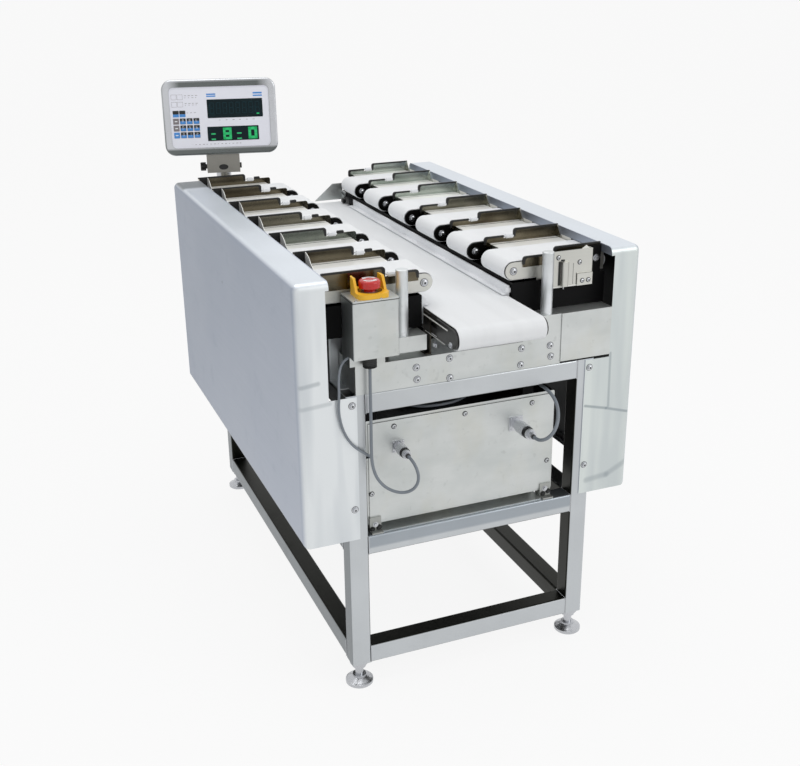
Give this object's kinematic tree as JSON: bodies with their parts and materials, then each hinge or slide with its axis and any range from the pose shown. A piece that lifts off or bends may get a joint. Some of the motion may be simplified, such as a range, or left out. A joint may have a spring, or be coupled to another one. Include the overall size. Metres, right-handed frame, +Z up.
{
  "type": "belt combination weigher",
  "caption": "Floor-standing weigher with two rows of short weigh belts feeding a central take-away belt, on a tube frame with indicator and stop button.",
  "frame": {"origin": "floor level, middle of the overall box in x and y", "axes": "+X to the right seen from the front, +Y to the rear along the take-away belt, +Z up"},
  "size_m": [0.7132, 1.2532, 1.1076],
  "materials": {
    "frame_steel": "brushed stainless tube",
    "cover_steel": "fine brushed stainless sheet",
    "guide_steel": "polished stainless sheet",
    "beam_steel": "brushed stainless sheet",
    "machined_steel": "turned stainless",
    "dark_plate": "satin black",
    "box_steel": "fine brushed stainless sheet",
    "connector_black": "moulded black",
    "belt_white": "white food belt",
    "rail_white": "white sliding plastic",
    "roller_steel": "turned",
    "tray_black": "black sheet",
    "guard_yellow": "moulded yellow",
    "button_red": "moulded red",
    "stop_grey": "moulded light grey",
    "housing_steel": "pressed stainless",
    "panel_film": "printed key film",
    "knob_black": "moulded black",
    "cable_grey": "cable jacket"
  },
  "bodies": {
    "machine": {"frame_legs": "frame_steel", "bottom_rails": "frame_steel", "mid_rails": "frame_steel", "top_rails": "frame_steel", "levelling_feet": "machined_steel", "right_cover": "cover_steel", "left_cover": "cover_steel", "front_beam": "beam_steel", "rear_beam": "beam_steel", "front_right_plate": "beam_steel", "left_post_block": "beam_steel", "right_post_block": "machined_steel", "left_post": "machined_steel", "right_post": "machined_steel", "stop_box": "beam_steel", "stop_guard": "guard_yellow", "stop_collar": "stop_grey", "stop_gland": "connector_black", "electrical_box": "box_steel", "box_brackets": "beam_steel", "box_connectors": "machined_steel", "box_shelf": "beam_steel", "stop_cable": "cable_grey", "right_cable": "cable_grey", "conveyor_belt": "belt_white", "conveyor_rollers": "roller_steel", "conveyor_side_right": "dark_plate", "conveyor_side_left": "dark_plate", "conveyor_bed": "beam_steel", "conveyor_rails": "rail_white", "conveyor_feet": "beam_steel", "rear_deflector": "beam_steel", "tray_supports": "dark_plate", "drive_cover": "beam_steel", "drive_side_panel": "dark_plate", "indicator_pole": "machined_steel", "pole_brackets": "beam_steel", "right_weigh_belts": "belt_white", "right_head_plates": "machined_steel", "right_head_rollers": "roller_steel", "right_head_beds": "dark_plate", "right_head_mounts": "dark_plate", "right_guides": "guide_steel", "right_tray": "tray_black", "left_weigh_belts": "belt_white", "left_head_plates": "machined_steel", "left_head_rollers": "roller_steel", "left_head_beds": "dark_plate", "left_head_mounts": "dark_plate", "left_guides": "guide_steel", "left_tray": "tray_black"},
    "indicator": {"indicator_housing": "housing_steel", "indicator_panel": "panel_film", "indicator_bracket": "housing_steel", "indicator_knob": "knob_black"},
    "stop_button": {"stop_button": "button_red"}
  },
  "joints": [
    {"name": "indicator_tilt", "type": "hinge", "parent": "machine", "child": "indicator", "pos_m": [-0.2087, 0.57538, 0.884], "axis": [0.9781, -0.2079, 0], "range_deg": [-12, 12]},
    {"name": "stop_press", "type": "slide", "parent": "machine", "child": "stop_button", "axis": [0, 0, -1], "range_m": [0, 0.004], "stiffness_N_per_m": 1500}
  ]
}
